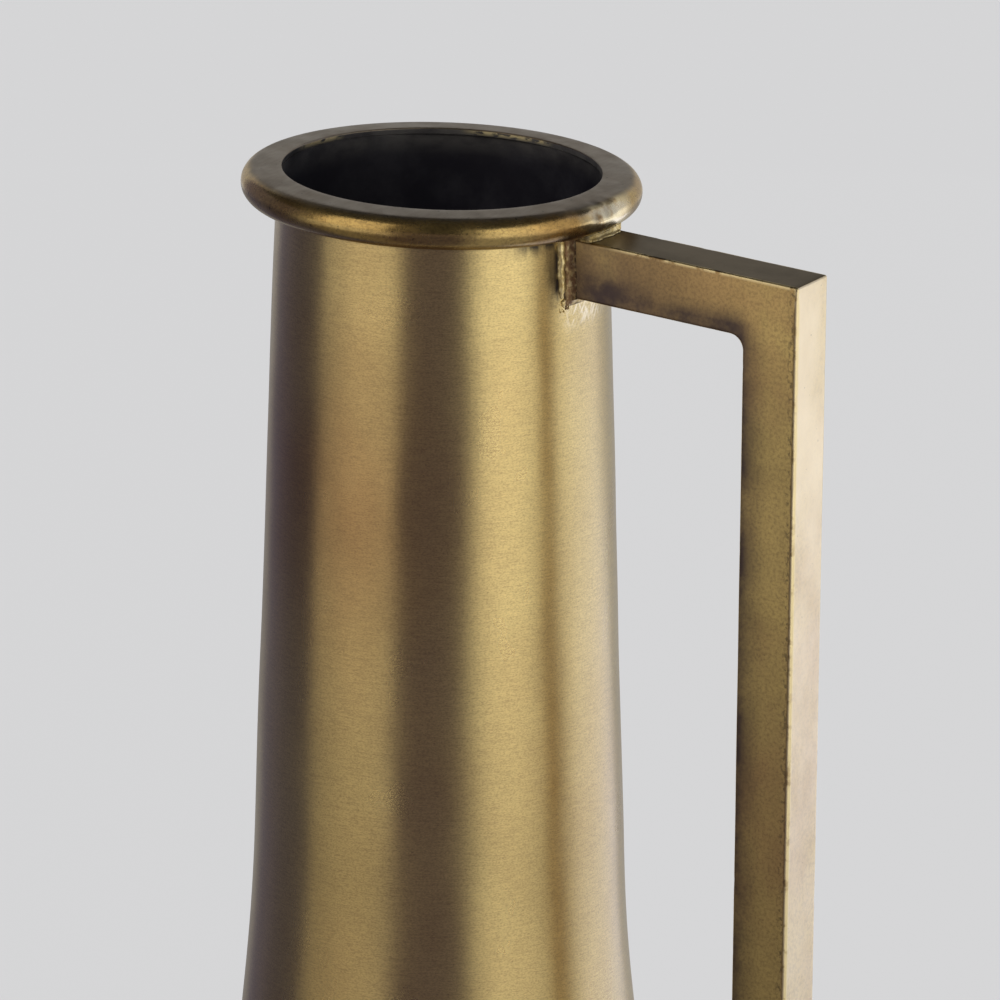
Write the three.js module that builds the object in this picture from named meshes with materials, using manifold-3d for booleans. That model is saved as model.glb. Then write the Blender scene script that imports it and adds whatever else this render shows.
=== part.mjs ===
// Jug vase: a tall sheet-brass body that flares to a wide foot, a half-round rim ring
// round the mouth and a square-bar handle welded on at both ends.
// Millimetres, +Z up. The origin is the centre of the base, on the surface it stands on,
// and the handle points along +X.
import * as THREE from "three";
import { mergeVertices } from "three/addons/utils/BufferGeometryUtils.js";
import Module from "manifold-3d";

const wasm = await Module();
wasm.setup();

const degrees = THREE.MathUtils.degToRad;

// Driving dimensions: the body
const HEIGHT = 310; // base to the top of the rim, on the axis
const FLARE_START_HEIGHT = 170; // where the straight neck turns into the flare
const FLARE_START_RADIUS = 37.6; // outside of the neck there
const FLARE_ARC = 500; // radius of the hollow curve down to the foot
const FOOT_ROUND = 6; // outer radius of the rounded foot edge
const FOOT_LIP = 7; // flat lip turned in under the foot
const SHEET = 1; // sheet thickness of the wall and the base disc

// Driving dimensions: the rim ring
const RIM_OUTER_RADIUS = 39.8;
const RIM_WIDTH = 7; // outside of the neck to the rim's outer radius
const RIM_HEIGHT = 6.8;
const RIM_TOP_ROUND = 3.1; // outer edge, above the widest line
const RIM_TILT = degrees(1.4); // the hand-set ring sits a little out of square
const RIM_TILT_AZIMUTH = degrees(24); // the low side, counted from the handle towards +Y

// Driving dimensions: the handle
const BAR = 12; // square bar
const GRIP_INNER_REACH = 71.7; // axis to the inner face of the upright grip
const ARM_DROP = 8; // rim top to the top of the upper arm, at the neck
const ARM_DROOP = degrees(3.05); // the upper arm falls away from the neck
const HANDLE_HEIGHT = 212; // upper arm's top at the neck to the lower arm's underside
const CORNER_FILLET = 3; // dressed weld in the two inside corners

// Driving dimensions: welds and braze
const SIDE_BEAD = 3.6; // radius of the upright beads beside an arm
const CROSS_BEAD = 1.6; // radius of the beads over and under an arm
const RIM_WELD_INSET = 1; // the rim's widest line to the face of the weld under it
const RIM_BRAZE = 0.8; // leg of the fillet under the rim ring
const BASE_BRAZE_WIDTH = 5;
const BASE_BRAZE_HEIGHT = 1.2;
const JOINT_GAP = 0.3; // left between pieces that the braze and welds bridge

// Facets
const ROUND_STEPS = 64;
const FLARE_STEPS = 10;
const ARC_STEPS = 6; // foot edge and corner fillets
const RIM_STEPS = 5;
const BEAD_STEPS = 16;

// Values that follow from the driving dimensions
const MOUTH_RADIUS = RIM_OUTER_RADIUS - RIM_WIDTH; // outside of the neck at the top
const NECK_ANGLE = Math.atan2(FLARE_START_RADIUS - MOUTH_RADIUS, HEIGHT - FLARE_START_HEIGHT);
const NECK_OVERRUN = RIM_OUTER_RADIUS * Math.tan(RIM_TILT) + 2 * SHEET;
const FLARE_CENTRE = new THREE.Vector2(
  FLARE_START_RADIUS + FLARE_ARC * Math.cos(NECK_ANGLE),
  FLARE_START_HEIGHT + FLARE_ARC * Math.sin(NECK_ANGLE),
);
const FOOT_CENTRE = new THREE.Vector2(
  FLARE_CENTRE.x - Math.sqrt((FLARE_ARC + FOOT_ROUND) ** 2 - (FLARE_CENTRE.y - FOOT_ROUND) ** 2),
  FOOT_ROUND,
);
const FOOT_ANGLE = Math.atan2(FLARE_CENTRE.y - FOOT_CENTRE.y, FLARE_CENTRE.x - FOOT_CENTRE.x);
const LIP_RADIUS = FOOT_CENTRE.x - FOOT_LIP;
const UPPER_ARM_TOP = HEIGHT - ARM_DROP;
const HANDLE_BOTTOM = UPPER_ARM_TOP - HANDLE_HEIGHT;
const GRIP_OUTER_REACH = GRIP_INNER_REACH + BAR;

// Materials
const brass = (name, color, roughness) =>
  new THREE.MeshStandardMaterial({ name, color, roughness, metalness: 1 });
const bodyBrass = brass("body_brass", 0xb59c62, 0.34);
const rimBrass = brass("rim_brass", 0x8f7c58, 0.38);
const handleBrass = brass("handle_brass", 0x94784a, 0.42);
const weldMetal = brass("weld_metal", 0xcdb47c, 0.36);
const brazeMetal = brass("braze_metal", 0xa8894f, 0.5);

// A closed geometry as a solid for cutting and joining.
function toSolid(geometry) {
  const bare = geometry.clone();
  bare.deleteAttribute("normal");
  bare.deleteAttribute("uv");
  const merged = mergeVertices(bare, 1e-4);
  const vertProperties = merged.attributes.position.array;
  const triVerts = new Uint32Array(merged.index.array);
  return new wasm.Manifold(new wasm.Mesh({ numProp: 3, vertProperties, triVerts }));
}

// A solid back as a geometry for a mesh.
function toGeometry(solid) {
  const { vertProperties, triVerts } = solid.getMesh();
  return new THREE.BufferGeometry()
    .setAttribute("position", new THREE.BufferAttribute(vertProperties, 3))
    .setIndex(new THREE.BufferAttribute(triVerts, 1));
}

// A named mesh of a solid.
function pieceOf(name, solid, material) {
  const geometry = toGeometry(solid);
  geometry.computeVertexNormals();
  const mesh = new THREE.Mesh(geometry, material);
  mesh.name = name;
  return mesh;
}

// The largest body of a solid, so that a cut leaves no crumbs.
function mainBody(solid) {
  return solid.decompose().sort((a, b) => b.volume() - a.volume())[0];
}

// A profile of (radius, height) points turned about +Z.
function turned(points) {
  return toSolid(new THREE.LatheGeometry(points, ROUND_STEPS).rotateX(Math.PI / 2));
}

// An outline in the XZ plane, made into a bar that is centred on Y.
function barFrom(shape, width) {
  const geometry = new THREE.ExtrudeGeometry(shape, {
    depth: width,
    bevelEnabled: false,
    curveSegments: ARC_STEPS,
  });
  return toSolid(geometry.rotateX(Math.PI / 2).translate(0, width / 2, 0));
}

// Body

// The wall from above the mouth to the lip's inner edge, moved in from the outside by inset.
function wallProfile(inset, overrun) {
  const points = [];
  const along = (radius, angle, centre) =>
    new THREE.Vector2(centre.x + radius * Math.cos(angle), centre.y + radius * Math.sin(angle));
  const normal = new THREE.Vector2(Math.cos(NECK_ANGLE), Math.sin(NECK_ANGLE));
  points.push(
    new THREE.Vector2(
      MOUTH_RADIUS - overrun * Math.tan(NECK_ANGLE) - inset * normal.x,
      HEIGHT + overrun - inset * normal.y,
    ),
  );
  for (let i = 0; i <= FLARE_STEPS; i++) {
    const angle = THREE.MathUtils.lerp(NECK_ANGLE, FOOT_ANGLE, i / FLARE_STEPS);
    points.push(along(-(FLARE_ARC + inset), angle, FLARE_CENTRE));
  }
  for (let i = 1; i <= ARC_STEPS; i++) {
    const angle = THREE.MathUtils.lerp(FOOT_ANGLE, -Math.PI / 2, i / ARC_STEPS);
    points.push(along(FOOT_ROUND - inset, angle, FOOT_CENTRE));
  }
  points.push(new THREE.Vector2(LIP_RADIUS, inset));
  return points;
}

// The body as a filled solid, grown by a clearance, for cutting what is welded to it.
function filledBody(clearance) {
  const wall = wallProfile(-clearance, NECK_OVERRUN);
  const top = new THREE.Vector2(0, wall[0].y);
  const bottom = new THREE.Vector2(0, -clearance);
  return turned([bottom, ...wall.reverse(), top]);
}

// Everything above the rim's top plane, in the rim's own frame.
function aboveRim() {
  const side = 3 * RIM_OUTER_RADIUS;
  return toSolid(new THREE.BoxGeometry(side, side, side).translate(0, 0, side / 2));
}

const rimAxis = new THREE.Vector3(-Math.sin(RIM_TILT_AZIMUTH), Math.cos(RIM_TILT_AZIMUTH), 0);
const rimGroup = new THREE.Group();
rimGroup.position.z = HEIGHT;
rimGroup.quaternion.setFromAxisAngle(rimAxis, RIM_TILT);
rimGroup.updateMatrix();
const intoRim = rimGroup.matrix.clone().invert();

const bodyCutter = filledBody(JOINT_GAP);
const bodyInRim = bodyCutter.transform(intoRim.elements);

function bodyShell() {
  const outside = wallProfile(0, NECK_OVERRUN);
  const inside = wallProfile(SHEET, NECK_OVERRUN).reverse();
  const loop = [...outside, ...inside, outside[0].clone()].reverse();
  return turned(loop).subtract(aboveRim().transform(rimGroup.matrix.elements));
}

function baseDisc() {
  const edge = LIP_RADIUS - JOINT_GAP;
  return turned([
    new THREE.Vector2(0, 0),
    new THREE.Vector2(edge, 0),
    new THREE.Vector2(edge, SHEET),
    new THREE.Vector2(0, SHEET),
  ]);
}

// A low bead of braze inside, over the joint between the lip and the base disc.
function baseBraze() {
  const middle = LIP_RADIUS - JOINT_GAP / 2;
  const half = BASE_BRAZE_WIDTH / 2;
  const foot = new THREE.Vector2(middle - half, SHEET);
  return turned([
    foot,
    new THREE.Vector2(middle + half, SHEET),
    new THREE.Vector2(middle + half / 2, SHEET + BASE_BRAZE_HEIGHT),
    new THREE.Vector2(middle - half / 2, SHEET + BASE_BRAZE_HEIGHT),
    foot.clone(),
  ]);
}

// Rim

// The ring in its own frame, with its top at zero, slipped over the neck and ground flat.
// Grown by a clearance, it cuts what meets it.
function rimRing(clearance) {
  const underRound = RIM_HEIGHT - RIM_TOP_ROUND;
  const points = [];
  const arc = (centre, round, from, to) => {
    for (let i = 0; i <= RIM_STEPS; i++) {
      const angle = THREE.MathUtils.lerp(from, to, i / RIM_STEPS);
      const reach = round + clearance;
      points.push(
        new THREE.Vector2(centre.x + reach * Math.cos(angle), centre.y + reach * Math.sin(angle)),
      );
    }
  };
  const bore = MOUTH_RADIUS - SHEET;
  const inner = new THREE.Vector2(bore, -RIM_HEIGHT - clearance);
  points.push(inner);
  arc(new THREE.Vector2(RIM_OUTER_RADIUS - underRound, -RIM_TOP_ROUND), underRound, -Math.PI / 2, 0);
  points.pop();
  arc(new THREE.Vector2(RIM_OUTER_RADIUS - RIM_TOP_ROUND, -RIM_TOP_ROUND), RIM_TOP_ROUND, 0, Math.PI / 2);
  points.push(new THREE.Vector2(bore, clearance), inner.clone());
  return turned(points);
}

// A small fillet of braze in the corner under the ring. Grown by a clearance, it cuts what meets it.
function rimBraze(clearance) {
  const joint = -RIM_HEIGHT - JOINT_GAP;
  const leg = RIM_BRAZE + clearance;
  const neck = MOUTH_RADIUS + RIM_HEIGHT * Math.tan(NECK_ANGLE);
  const face = neck + JOINT_GAP + clearance;
  const corner = new THREE.Vector2(neck - SHEET, joint + clearance);
  return turned([
    corner,
    new THREE.Vector2(neck - SHEET, joint - leg),
    new THREE.Vector2(face, joint - leg),
    new THREE.Vector2(face + leg, joint + clearance),
    corner.clone(),
  ]);
}

// Handle

// Height of the upper arm's top face at a distance from the axis.
const armTop = (x) => UPPER_ARM_TOP - (x - MOUTH_RADIUS) * Math.tan(ARM_DROOP);
const armUnder = (x) => armTop(x) - BAR / Math.cos(ARM_DROOP);
const LOWER_ARM_TOP = HANDLE_BOTTOM + BAR;

function outline(corners) {
  return new THREE.Shape(corners.map(([x, z]) => new THREE.Vector2(x, z)));
}

// The upper arm's bar before it is coped to the neck, grown by a clearance.
function upperArmBar(clearance) {
  const shape = outline([
    [0, armUnder(0) - clearance],
    [GRIP_INNER_REACH, armUnder(GRIP_INNER_REACH) - clearance],
    [GRIP_INNER_REACH, armTop(GRIP_INNER_REACH) + clearance],
    [0, armTop(0) + clearance],
  ]);
  return barFrom(shape, BAR + 2 * clearance);
}

function lowerArmBar(clearance) {
  const shape = outline([
    [0, HANDLE_BOTTOM - clearance],
    [GRIP_INNER_REACH, HANDLE_BOTTOM - clearance],
    [GRIP_INNER_REACH, LOWER_ARM_TOP + clearance],
    [0, LOWER_ARM_TOP + clearance],
  ]);
  return barFrom(shape, BAR + 2 * clearance);
}

function gripBar() {
  return barFrom(
    outline([
      [GRIP_INNER_REACH, HANDLE_BOTTOM],
      [GRIP_OUTER_REACH, HANDLE_BOTTOM],
      [GRIP_OUTER_REACH, armTop(GRIP_OUTER_REACH)],
      [GRIP_INNER_REACH, armTop(GRIP_INNER_REACH)],
    ]),
    BAR,
  );
}

// The dressed weld in an inside corner of the handle. The arm's face leaves the corner at
// droop below level, and side is -1 under the upper arm and +1 on the lower arm.
function cornerWeld(cornerHeight, droop, side) {
  const leg = CORNER_FILLET / Math.tan((Math.PI / 2 + droop) / 2);
  const centreX = GRIP_INNER_REACH - CORNER_FILLET;
  const centreZ = cornerHeight + side * leg;
  const shape = new THREE.Shape();
  shape.moveTo(GRIP_INNER_REACH, cornerHeight);
  shape.lineTo(GRIP_INNER_REACH, centreZ);
  const armContact = -side * (Math.PI / 2 - droop);
  shape.absarc(centreX, centreZ, CORNER_FILLET, 0, armContact, side > 0);
  shape.closePath();
  return barFrom(shape, BAR);
}

// Welds

// A straight bead between two points, cut back from the pieces that it joins.
function bead(from, to, radius, cutters) {
  const line = new THREE.LineCurve3(new THREE.Vector3(...from), new THREE.Vector3(...to));
  const section = new THREE.Shape().absarc(0, 0, radius, 0, 2 * Math.PI);
  const geometry = new THREE.ExtrudeGeometry(section, {
    extrudePath: line,
    steps: 1,
    curveSegments: BEAD_STEPS,
  });
  return mainBody(cutters.reduce((left, cutter) => left.subtract(cutter), toSolid(geometry)));
}

// Outer radius of the body at a height, on the straight neck or on the flare.
function bodyRadius(height) {
  if (height >= FLARE_START_HEIGHT) {
    return MOUTH_RADIUS + (HEIGHT - height) * Math.tan(NECK_ANGLE);
  }
  return FLARE_CENTRE.x - Math.sqrt(FLARE_ARC ** 2 - (FLARE_CENTRE.y - height) ** 2);
}

// Distance from the axis, along +X, of the body's surface at a height and a distance off centre.
const surfaceX = (height, y) => Math.sqrt(bodyRadius(height) ** 2 - y ** 2);

// The space straight over and under the arms, which the side beads stay out of.
function armSlab() {
  return toSolid(new THREE.BoxGeometry(2 * GRIP_OUTER_REACH, BAR + 2 * JOINT_GAP, 3 * HEIGHT));
}

// The upright bead on one side of an arm, from its underside to its top.
function sideBead(under, top, side, cutters) {
  const y = (side * BAR) / 2;
  const from = [surfaceX(under, y), y, under];
  const to = [surfaceX(top, y), y, top];
  return bead(from, to, SIDE_BEAD, [...cutters, armSlab()]);
}

// The level bead across an arm's top or underside.
function crossBead(height, cutters) {
  const x = surfaceX(height, 0);
  return bead([x, -BAR / 2, height], [x, BAR / 2, height], CROSS_BEAD, cutters);
}

// The weld that fills the wedge between the upper arm's top and the rim's underside.
function rimWeld(cutters) {
  const face = RIM_OUTER_RADIUS - RIM_WELD_INSET;
  const widest = HEIGHT - RIM_TOP_ROUND;
  const shape = outline([
    [MOUTH_RADIUS, armTop(MOUTH_RADIUS)],
    [face, armTop(face)],
    [face, widest],
    [MOUTH_RADIUS, widest],
  ]);
  const wedge = cutters.reduce((left, cutter) => left.subtract(cutter), barFrom(shape, BAR));
  return mainBody(wedge);
}

// Assembly

const jugVase = new THREE.Group();
jugVase.name = "jug_vase";

const ringCutter = rimRing(JOINT_GAP).transform(rimGroup.matrix.elements);
const upperArmCutter = upperArmBar(JOINT_GAP);
const lowerArmCutter = lowerArmBar(JOINT_GAP);
const upperArmInRim = upperArmCutter.transform(intoRim.elements);

jugVase.add(
  pieceOf("body_shell", bodyShell(), bodyBrass),
  pieceOf("base_disc", baseDisc(), bodyBrass),
  pieceOf("base_braze", baseBraze(), brazeMetal),
);

rimGroup.add(
  pieceOf("rim_ring", rimRing(0).subtract(bodyInRim), rimBrass),
  pieceOf("rim_braze", mainBody(rimBraze(0).subtract(bodyInRim).subtract(upperArmInRim)), brazeMetal),
);
jugVase.add(rimGroup);

const handle = new THREE.Group();
handle.add(
  pieceOf("handle_upper_arm", upperArmBar(0).subtract(bodyCutter).subtract(ringCutter), handleBrass),
  pieceOf("handle_grip", gripBar(), handleBrass),
  pieceOf("handle_lower_arm", lowerArmBar(0).subtract(bodyCutter), handleBrass),
  pieceOf("upper_corner_weld", cornerWeld(armUnder(GRIP_INNER_REACH), ARM_DROOP, -1), handleBrass),
  pieceOf("lower_corner_weld", cornerWeld(LOWER_ARM_TOP, 0, 1), handleBrass),
);
jugVase.add(handle);

const brazeCutter = rimBraze(JOINT_GAP).transform(rimGroup.matrix.elements);
const upperCutters = [bodyCutter, ringCutter, brazeCutter, upperArmCutter];
const lowerCutters = [bodyCutter, lowerArmCutter];
const upperUnder = armUnder(MOUTH_RADIUS);
const welds = new THREE.Group();
welds.add(
  pieceOf("upper_weld_front", sideBead(upperUnder, UPPER_ARM_TOP, -1, upperCutters), weldMetal),
  pieceOf("upper_weld_back", sideBead(upperUnder, UPPER_ARM_TOP, 1, upperCutters), weldMetal),
  pieceOf("upper_weld_under", crossBead(upperUnder, upperCutters), weldMetal),
  pieceOf("rim_weld", rimWeld(upperCutters), weldMetal),
  pieceOf("lower_weld_front", sideBead(HANDLE_BOTTOM, LOWER_ARM_TOP, -1, lowerCutters), weldMetal),
  pieceOf("lower_weld_back", sideBead(HANDLE_BOTTOM, LOWER_ARM_TOP, 1, lowerCutters), weldMetal),
  pieceOf("lower_weld_under", crossBead(HANDLE_BOTTOM, lowerCutters), weldMetal),
  pieceOf("lower_weld_top", crossBead(LOWER_ARM_TOP, lowerCutters), weldMetal),
);
jugVase.add(welds);

export default jugVase;
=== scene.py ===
"""Looks of a jug vase: aged brass body, rim ring, square-bar handle and welds, in a plain studio.

Metres, +Z up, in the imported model's frame: the origin is the centre of the base and the
handle points along +X.
"""

import math

import bmesh
import bpy
import numpy as np
from mathutils import Matrix, Vector, noise


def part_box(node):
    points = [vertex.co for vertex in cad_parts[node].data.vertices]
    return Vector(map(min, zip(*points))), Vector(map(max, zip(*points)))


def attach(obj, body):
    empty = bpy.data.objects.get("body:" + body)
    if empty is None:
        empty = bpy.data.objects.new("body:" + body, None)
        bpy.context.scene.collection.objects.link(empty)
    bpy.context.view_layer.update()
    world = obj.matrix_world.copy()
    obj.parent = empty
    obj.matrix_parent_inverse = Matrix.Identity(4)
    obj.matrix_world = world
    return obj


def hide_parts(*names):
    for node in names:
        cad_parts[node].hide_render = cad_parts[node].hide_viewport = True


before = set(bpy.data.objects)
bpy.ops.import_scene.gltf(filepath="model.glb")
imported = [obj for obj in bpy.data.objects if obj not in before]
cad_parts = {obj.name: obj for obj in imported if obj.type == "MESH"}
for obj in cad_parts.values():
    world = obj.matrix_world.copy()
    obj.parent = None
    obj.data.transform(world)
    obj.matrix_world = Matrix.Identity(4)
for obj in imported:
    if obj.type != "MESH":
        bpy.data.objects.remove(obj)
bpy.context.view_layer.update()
scene = bpy.context.scene

MM = 0.001

# Body sizes
HEIGHT = 310 * MM
MOUTH_RADIUS = 32.8 * MM
FLARE_START_HEIGHT = 170 * MM
FLARE_START_RADIUS = 37.6 * MM
FLARE_ARC = 500 * MM
FOOT_ROUND = 6 * MM
FOOT_LIP = 7 * MM
SHEET = 1 * MM
MOUTH_SET_BACK = 0.9 * MM  # the wall's top edge ends inside the rim's inner lip
BODY_WAVE = 0.2 * MM  # hand-worked sheet is never quite round

# Rim sizes, in the ring's own frame with its top at zero
RIM_OUTER_RADIUS = 39.8 * MM
RIM_FLAT_RADIUS = 37.4 * MM  # outer edge of the ground top
RIM_CROWN = 0.24 * MM  # the ground top falls by this much towards its outer edge
RIM_LIFT = 0.35 * MM  # the ground top's inner edge over the vase's nominal height
RIM_ROUND = 3.3 * MM
RIM_INNER_ROUND = 0.25 * MM
RIM_TILT = math.radians(1.4)
RIM_TILT_AZIMUTH = math.radians(24)  # the low side, counted from the handle towards +Y

# Handle sizes, from the frame where it has them
GRIP_LOW, GRIP_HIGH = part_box("handle_grip")
BAR = GRIP_HIGH.y - GRIP_LOW.y
HALF_BAR = BAR / 2
GRIP_INNER = GRIP_LOW.x
HANDLE_BOTTOM = GRIP_LOW.z
LOWER_ARM_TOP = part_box("handle_lower_arm")[1].z
CORNER_FILLET = GRIP_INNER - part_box("lower_corner_weld")[0].x
ARM_DROOP = math.radians(3.05)
EDGE_ROUND = 0.42 * MM
GRIP_EDGE_ROUND = 0.95 * MM  # the grip's outer front edge is worn rounder
NICK_DEPTH = 0.35 * MM
BAR_WAVE = 0.035 * MM

# Camera
CAMERA_AZIMUTH = math.radians(30.65)
CAMERA_PITCH = math.radians(17)
CAMERA_ROLL = math.radians(0.42)
RIM_FORWARD = 1541.1 * MM  # where the middle of the rim lies in front of the camera
RIM_RIGHT = -11.92 * MM
RIM_UP = 65.3 * MM
FOCAL_PIXELS = 7786
FRAME_PIXELS = 1000
SENSOR_MM = 36

# Values that follow
NECK_ANGLE = math.atan2(FLARE_START_RADIUS - MOUTH_RADIUS, HEIGHT - FLARE_START_HEIGHT)
FLARE_CENTRE = Vector((
    FLARE_START_RADIUS + FLARE_ARC * math.cos(NECK_ANGLE),
    FLARE_START_HEIGHT + FLARE_ARC * math.sin(NECK_ANGLE),
))
FOOT_CENTRE = Vector((
    FLARE_CENTRE.x - math.sqrt((FLARE_ARC + FOOT_ROUND) ** 2 - (FLARE_CENTRE.y - FOOT_ROUND) ** 2),
    FOOT_ROUND,
))
FOOT_ANGLE = math.atan2(FLARE_CENTRE.y - FOOT_CENTRE.y, FLARE_CENTRE.x - FOOT_CENTRE.x)
LIP_RADIUS = FOOT_CENTRE.x - FOOT_LIP
RIM_AXIS = Vector((-math.sin(RIM_TILT_AZIMUTH), math.cos(RIM_TILT_AZIMUTH), 0))
RIM_PLACE = Matrix.Translation((0, 0, HEIGHT + RIM_LIFT)) @ Matrix.Rotation(RIM_TILT, 4, RIM_AXIS)


def lerp(a, b, share):
    return a + (b - a) * share


def smooth_step(low, high, value):
    """0 below low, 1 above high and an even curve between."""
    share = min(max((value - low) / (high - low), 0), 1)
    return share * share * (3 - 2 * share)


def fade(full, gone, value):
    """1 up to full, falling to 0 at gone."""
    return smooth_step(gone, full, value)


def ripple(x, y, z, seed=0):
    """Smooth noise from about -1 to 1 at a point counted in wavelengths."""
    return noise.noise(Vector((x + 17.3 * seed, y - 9.1 * seed, z + 4.7 * seed)))


def colour(red, green, blue):
    """A colour given as screen values from 0 to 255, as the shaders take it."""
    def linear(value):
        share = value / 255
        return share / 12.92 if share <= 0.04045 else ((share + 0.055) / 1.055) ** 2.4

    return (linear(red), linear(green), linear(blue), 1)


# Materials


class Shader:
    """A material's node tree with short ways to add nodes."""

    def __init__(self, name, metallic=1.0):
        self.material = bpy.data.materials.new(name)
        self.material.use_nodes = True
        self.tree = self.material.node_tree
        self.bsdf = self.tree.nodes["Principled BSDF"]
        self.bsdf.inputs["Metallic"].default_value = metallic
        self.coords = self.add("ShaderNodeTexCoord").outputs["Object"]

    def add(self, kind, inputs=(), **settings):
        """A new node with its settings and what goes into its sockets."""
        node = self.tree.nodes.new(kind)
        for key, value in settings.items():
            setattr(node, key, value)
        for key, value in dict(inputs).items():
            self.feed(node.inputs[key], value)
        return node

    def feed(self, socket, value):
        """Sets a socket to a constant or links another socket to it."""
        if isinstance(value, bpy.types.NodeSocket):
            self.tree.links.new(value, socket)
        else:
            socket.default_value = value

    def set(self, name, value):
        self.feed(self.bsdf.inputs[name], value)

    def noise(self, scale, detail=3.0, roughness=0.55, shift=0.0, turn=0.0):
        """Noise with features per metre along X, Y and Z, turned by an angle about X."""
        whole = {"Vector": self.coords, "Angle": turn}
        rotated = self.add("ShaderNodeVectorRotate", whole, rotation_type="X_AXIS").outputs["Vector"]
        move = {"Vector": rotated, "Location": (shift, -shift, 0.7 * shift), "Scale": scale}
        mapped = self.add("ShaderNodeMapping", move).outputs["Vector"]
        grain = {"Vector": mapped, "Scale": 1.0, "Detail": detail, "Roughness": roughness}
        return self.add("ShaderNodeTexNoise", grain).outputs["Fac"]

    def span(self, value, low, high, to_low=0.0, to_high=1.0):
        """Maps low..high to to_low..to_high, held at both ends."""
        limits = {"Value": value, "From Min": low, "From Max": high, "To Min": to_low, "To Max": to_high}
        return self.add("ShaderNodeMapRange", limits, interpolation_type="SMOOTHSTEP").outputs["Result"]

    def math(self, operation, first, second):
        return self.add("ShaderNodeMath", {0: first, 1: second}, operation=operation).outputs["Value"]

    def mix(self, share, first, second):
        """A blend of two colours. The node has several sockets A and B, so they go by their places."""
        return self.add("ShaderNodeMix", {"Factor": share, 6: first, 7: second}, data_type="RGBA").outputs[2]

    def weight(self, name):
        """A number stored on the mesh's points."""
        return self.add("ShaderNodeAttribute", attribute_name=name).outputs["Fac"]

    def patches(self, name, pattern):
        """A stored number, broken up by a pattern."""
        return self.math("MULTIPLY", self.weight(name), pattern)

    def lacquer(self, weight=0.4):
        """A thin clear coat over the metal."""
        self.set("Coat Weight", weight)
        self.set("Coat Roughness", 0.3)

    def bump(self, height, strength, distance):
        """Fine relief, on top of any that is there already."""
        inputs = {"Height": height, "Strength": strength, "Distance": distance}
        normal = self.bsdf.inputs["Normal"]
        if normal.is_linked:
            inputs["Normal"] = normal.links[0].from_socket
        self.set("Normal", self.add("ShaderNodeBump", inputs).outputs["Normal"])


GOLD = colour(212, 188, 124)
OLIVE = colour(186, 164, 102)
BROWN = colour(172, 136, 86)
UMBER = colour(96, 74, 52)
SOOT_AND_SHADE = colour(44, 38, 34)
PALE_GOLD = colour(232, 212, 160)
CREAM = colour(238, 224, 190)
GREY_METAL = colour(148, 137, 120)
GREY_BROWN = colour(138, 124, 104)
INK = colour(42, 40, 47)
PALE_INK = colour(68, 66, 71)
RUBBED_INK = colour(152, 147, 138)
RING_GOLD = colour(212, 180, 112)
RING_BROWN = colour(192, 154, 92)
RING_PALE = colour(246, 229, 180)
BAR_GOLD = colour(196, 170, 104)
BAR_BROWN = colour(176, 144, 92)
BAR_SHADE_DARK = colour(62, 48, 45)
BAR_DULL = colour(78, 68, 54)
BAR_PALE = colour(236, 217, 174)
DULL_SHEEN = colour(236, 228, 214)
WELD_GOLD = colour(220, 194, 128)
WELD_PALE = colour(248, 228, 168)
WELD_BURNT = colour(122, 94, 66)


def body_brass():
    """Brushed aged brass: fine lines round the body, patina clouds, specks and stains at the weld, and
    painted shade beside the welds' toes and just under the ring.
    """
    s = Shader("body_brass")
    clouds = s.span(s.noise((22, 22, 14), 4), 0.35, 0.7, 0.0, 0.35)
    warm = s.math("ADD", clouds, s.weight("warm"))
    tint = s.mix(warm, GOLD, BROWN)
    lines = s.noise((260, 260, 3600), 4, 0.7)
    grain = s.noise((2100, 2100, 4200), 2, 0.65, 3)
    tint = s.mix(s.span(lines, 0.35, 0.75, 0.0, 0.24), tint, UMBER)
    tint = s.mix(s.span(grain, 0.38, 0.7, 0.0, 0.34), tint, UMBER)
    specks = s.span(s.noise((1300, 1300, 1600), 1, 0.5, 11), 0.73, 0.8)
    tint = s.mix(s.math("MULTIPLY", specks, 0.3), tint, SOOT_AND_SHADE)
    # Soot by the welds and under the ring, with painted shade in the undercut by the toes and in the crevice
    # under the ring.
    stain = s.patches("stain", s.span(s.noise((420, 420, 160), 4), 0.28, 0.6))
    tint = s.mix(stain, tint, SOOT_AND_SHADE)
    strokes = s.span(s.noise((260, 1250, 260), 3, 0.6, 5, math.radians(38)), 0.45, 0.66)
    crossed = s.span(s.noise((260, 1100, 240), 3, 0.6, 6, math.radians(-24)), 0.47, 0.68)
    scratches = s.patches("pale", s.math("MAXIMUM", strokes, crossed))
    tint = s.mix(s.math("MULTIPLY", scratches, 0.8), tint, CREAM)
    s.set("Base Color", tint)
    s.set("Roughness", s.span(s.noise((60, 60, 40), 3, 0.6, 8), 0.3, 0.7, 0.27, 0.33))
    s.set("Anisotropic", 0.3)
    s.set("Anisotropic Rotation", 0.25)
    tangent = s.add("ShaderNodeTangent", direction_type="RADIAL", axis="Z")
    s.set("Tangent", tangent.outputs["Tangent"])
    s.lacquer()
    s.bump(lines, 0.1, 0.05 * MM)
    s.bump(grain, 0.36, 0.05 * MM)
    return s.material


def inner_black():
    """The blackened inside, rubbed grey towards the mouth and worn to brass in places on its edge."""
    s = Shader("inner_black", 0.5)
    mottle = s.span(s.noise((90, 90, 90), 4, 0.6), 0.4, 0.75)
    tint = s.mix(mottle, INK, PALE_INK)
    cloudy = s.span(s.noise((160, 160, 260), 4, 0.6, 6), 0.3, 0.65, 0.4, 1.0)
    tint = s.mix(s.patches("rub", cloudy), tint, RUBBED_INK)
    flecks = s.span(s.noise((420, 420, 900), 3, 0.6, 2), 0.38, 0.52)
    worn = s.patches("wear", flecks)
    s.set("Base Color", s.mix(worn, tint, PALE_GOLD))
    s.set("Roughness", s.span(mottle, 0, 1, 0.55, 0.4))
    s.bump(s.noise((700, 700, 700), 3), 0.15, 0.1 * MM)
    return s.material


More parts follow.
